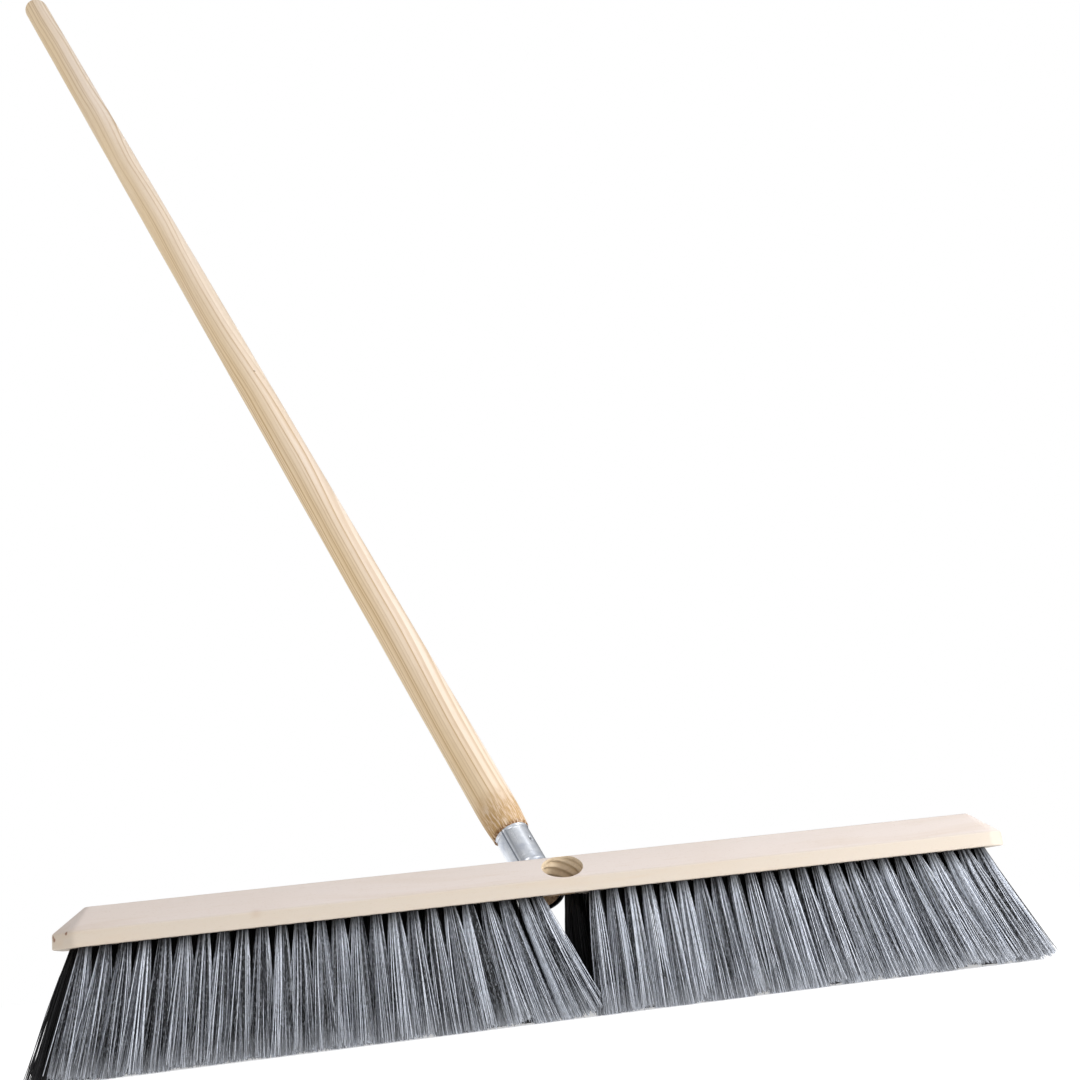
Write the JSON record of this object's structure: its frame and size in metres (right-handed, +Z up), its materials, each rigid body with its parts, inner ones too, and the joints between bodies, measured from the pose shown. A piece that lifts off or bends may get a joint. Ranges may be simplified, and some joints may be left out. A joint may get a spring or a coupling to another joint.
{
  "type": "push broom",
  "caption": "Push broom with a bevelled wooden block, stapled rows of bristle tufts, two angled threaded sockets and a long round handle that screws in by a steel ferrule.",
  "frame": {"origin": "on the floor plane where the bristles are trimmed, under the middle of the block", "axes": "+X along the block, +Y towards the user on the handle's side, +Z up"},
  "size_m": [0.7556, 0.8518, 1.3164],
  "materials": {
    "block_wood": "pale close-grained hardwood, sanded and lightly sealed",
    "handle_wood": "turned softwood with tan growth rings, satin lacquer",
    "zinc_steel": "bright zinc plate",
    "bristle_grey": "mixed light and dark grey flagged filaments",
    "bristle_black": "black filaments",
    "staple_steel": "drawn wire"
  },
  "bodies": {
    "head": {"block": "block_wood", "tufts_front_left": "bristle_grey", "tufts_front_right": "bristle_grey", "tufts_inner_front_left": "bristle_black", "tufts_inner_front_right": "bristle_black", "tufts_middle_left": "bristle_black", "tufts_middle_right": "bristle_black", "tufts_inner_back_left": "bristle_black", "tufts_inner_back_right": "bristle_black", "tufts_back_left": "bristle_grey", "tufts_back_right": "bristle_grey", "staples_front_left": "staple_steel", "staples_front_right": "staple_steel", "staples_inner_front_left": "staple_steel", "staples_inner_front_right": "staple_steel", "staples_middle_left": "staple_steel", "staples_middle_right": "staple_steel", "staples_inner_back_left": "staple_steel", "staples_inner_back_right": "staple_steel", "staples_back_left": "staple_steel", "staples_back_right": "staple_steel"},
    "handle": {"handle_stick": "handle_wood", "ferrule": "zinc_steel"}
  },
  "joints": [
    {"name": "handle_unscrew", "type": "slide", "parent": "head", "child": "handle", "axis": [-0.2751, 0.513, 0.8131], "range_m": [0, 0.06]}
  ]
}
